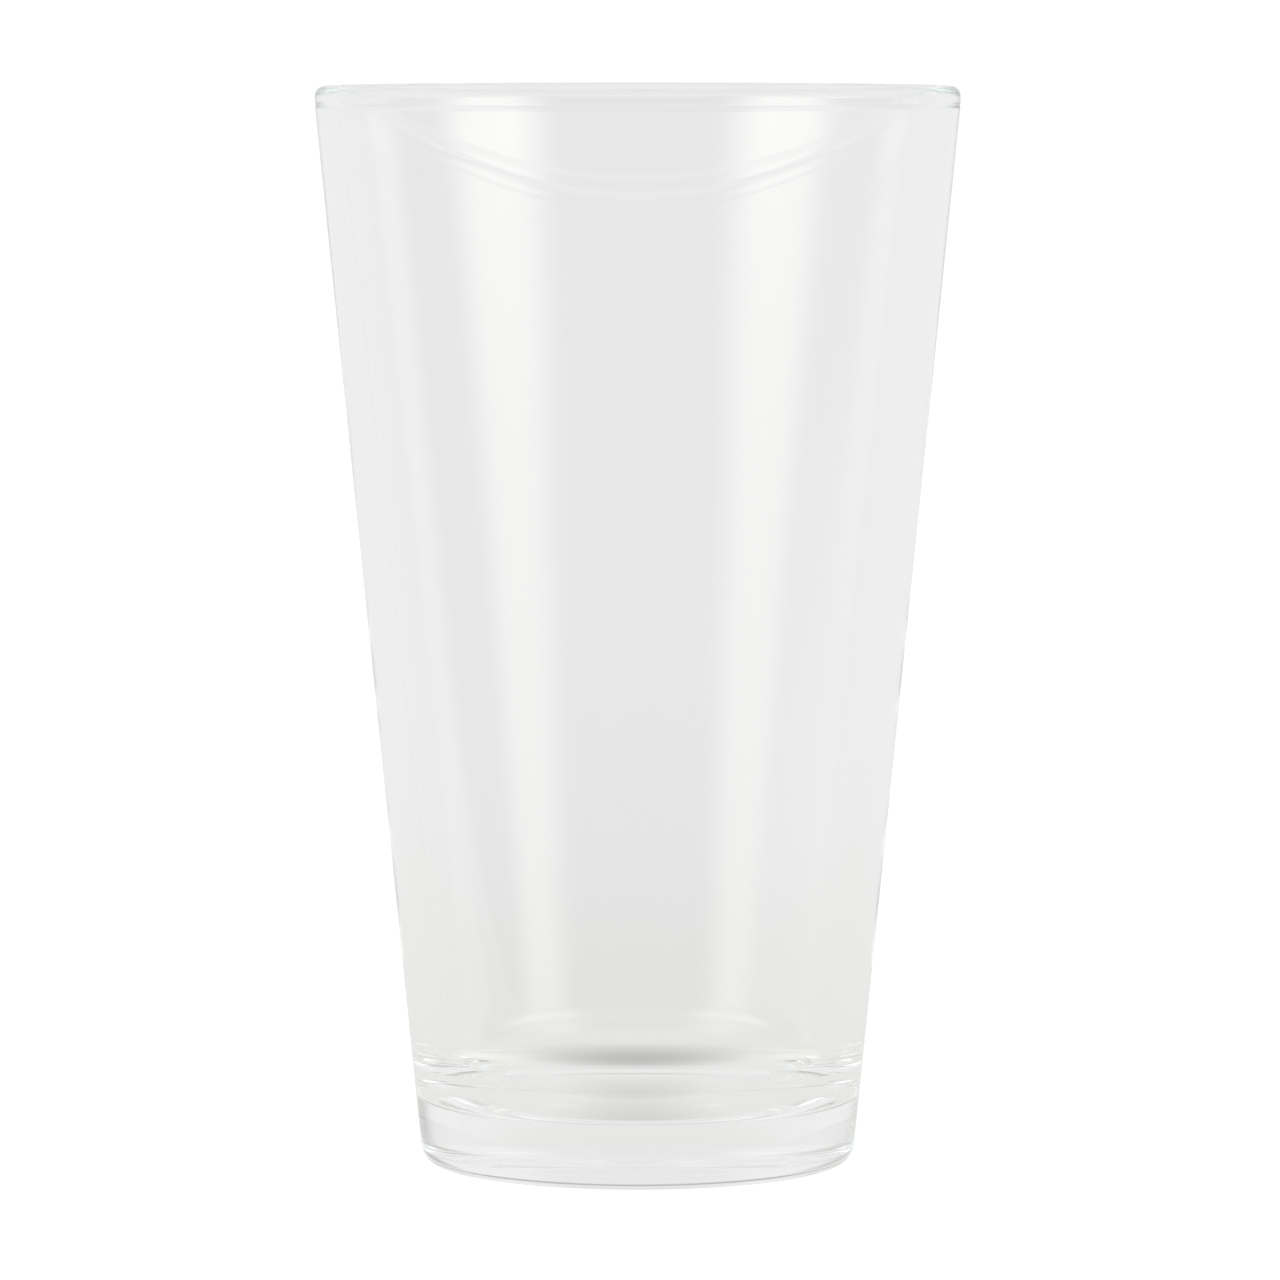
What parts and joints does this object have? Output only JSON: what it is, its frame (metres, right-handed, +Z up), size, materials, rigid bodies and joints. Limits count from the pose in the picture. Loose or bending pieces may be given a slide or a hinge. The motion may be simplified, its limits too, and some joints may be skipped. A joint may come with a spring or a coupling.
{
  "type": "mixing glass",
  "caption": "Clear one-piece conical mixing glass with a thick solid base, a flat bearing ring and a rounded lip band.",
  "frame": {"origin": "centre of the foot, on the plane that the bearing ring stands on", "axes": "+Z up along the glass's axis of revolution, out of the mouth; X and Y are any two square directions, because the glass is round"},
  "size_m": [0.0888, 0.0888, 0.1492],
  "materials": {
    "clear_glass": "clear soda-lime glass, fire-polished, very faint green-grey tint where thick"
  },
  "bodies": {
    "root": {"glass_body": "clear_glass"}
  },
  "joints": []
}
